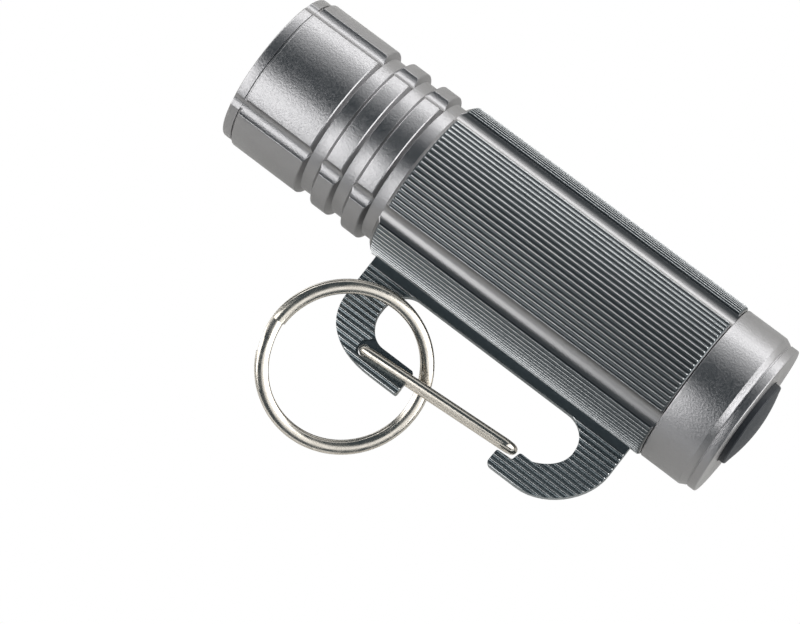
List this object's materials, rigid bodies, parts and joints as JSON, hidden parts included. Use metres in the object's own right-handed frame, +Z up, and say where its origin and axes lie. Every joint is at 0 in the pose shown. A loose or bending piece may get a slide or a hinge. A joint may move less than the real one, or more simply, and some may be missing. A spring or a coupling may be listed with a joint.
{
  "type": "keychain flashlight",
  "caption": "Pocket flashlight with a finned head, ribbed grip, side carabiner plate with wire gate and split ring, and an unscrewing tail cap with a push button.",
  "frame": {"origin": "middle of the box's bottom, below the barrel's axis and between it and the split ring", "axes": "+X along the barrel from the front rim to the push button, +Z up, carabiner plate in the plane Z = 14 mm towards -Y"},
  "size_m": [0.0936, 0.0582, 0.028],
  "materials": {
    "anodised_head": "bead-blasted and hard anodised, satin gunmetal",
    "anodised_grip": "extruded, blasted and hard anodised, satin slate grey",
    "nickel_steel": "nickel plated and polished",
    "spring_steel": "bright drawn",
    "gold_plate": "gold plated",
    "brass": "machined",
    "lens_glass": "clear, coated",
    "reflector_coating": "vacuum metallised, smooth",
    "phosphor_dome": "clear silicone over yellow phosphor",
    "white_plastic": "moulded",
    "black_plastic": "moulded",
    "circuit_board": "solder mask",
    "wire_red": "silicone insulation",
    "wire_black": "silicone insulation",
    "ferrite": "moulded ferrite",
    "cell_sleeve": "plain metallic film sleeve",
    "seal_rubber": "moulded nitrile",
    "button_rubber": "moulded silicone, matt"
  },
  "bodies": {
    "barrel": {"bezel_ring": "anodised_head", "lens": "lens_glass", "lens_gasket": "seal_rubber", "reflector": "reflector_coating", "led_centring_ring": "white_plastic", "led_package": "white_plastic", "led_dome": "phosphor_dome", "led_board": "circuit_board", "heat_sink": "brass", "led_wire_positive": "wire_red", "led_wire_negative": "wire_black", "driver_inductor": "ferrite", "driver_board": "circuit_board", "driver_contact_spring": "gold_plate", "head": "anodised_head", "head_o_ring": "seal_rubber", "grip_body": "anodised_grip", "carrier_frame": "black_plastic", "carrier_front_contact": "gold_plate", "carrier_rear_contact": "gold_plate", "cell_1": "cell_sleeve", "cell_2": "cell_sleeve", "cell_3": "cell_sleeve", "carrier_spring_1": "spring_steel", "carrier_spring_2": "spring_steel", "carrier_spring_3": "spring_steel"},
    "tail_seal": {"tail_o_ring": "seal_rubber"},
    "tail_cap": {"tail_cap": "anodised_head", "switch_housing": "black_plastic", "switch_board": "circuit_board", "switch_retaining_ring": "spring_steel", "tail_contact_spring": "gold_plate"},
    "button": {"rubber_button": "button_rubber", "switch_plunger": "white_plastic", "switch_spring": "spring_steel"},
    "gate": {"gate_wire": "nickel_steel"},
    "ring": {"split_ring": "nickel_steel"}
  },
  "joints": [
    {"name": "tail_cap_turn", "type": "hinge", "parent": "barrel", "child": "tail_seal", "pos_m": [0.0359, 0.01506, 0.014], "axis": [1, 0, 0], "range_deg": [0, 1620]},
    {"name": "tail_cap_travel", "type": "slide", "parent": "tail_seal", "child": "tail_cap", "axis": [1, 0, 0], "range_m": [0, 0.0045]},
    {"name": "button_press", "type": "slide", "parent": "tail_cap", "child": "button", "axis": [-1, 0, 0], "range_m": [0, 0.0015], "stiffness_N_per_m": 300},
    {"name": "gate_swing", "type": "hinge", "parent": "barrel", "child": "gate", "pos_m": [-0.008, -0.01179, 0.014], "axis": [0, 0, 1], "range_deg": [0, 16], "stiffness_Nm_per_rad": 0.02},
    {"name": "ring_swing", "type": "hinge", "parent": "barrel", "child": "ring", "pos_m": [-0.01235, -0.0041, 0.0181], "axis": [0.8686, 0.3858, -0.3109], "range_deg": [0, 25]}
  ],
  "couplings": [
    {"joint": "tail_cap_turn", "follows": "tail_cap_travel", "rad_per_m": 6283.2}
  ]
}
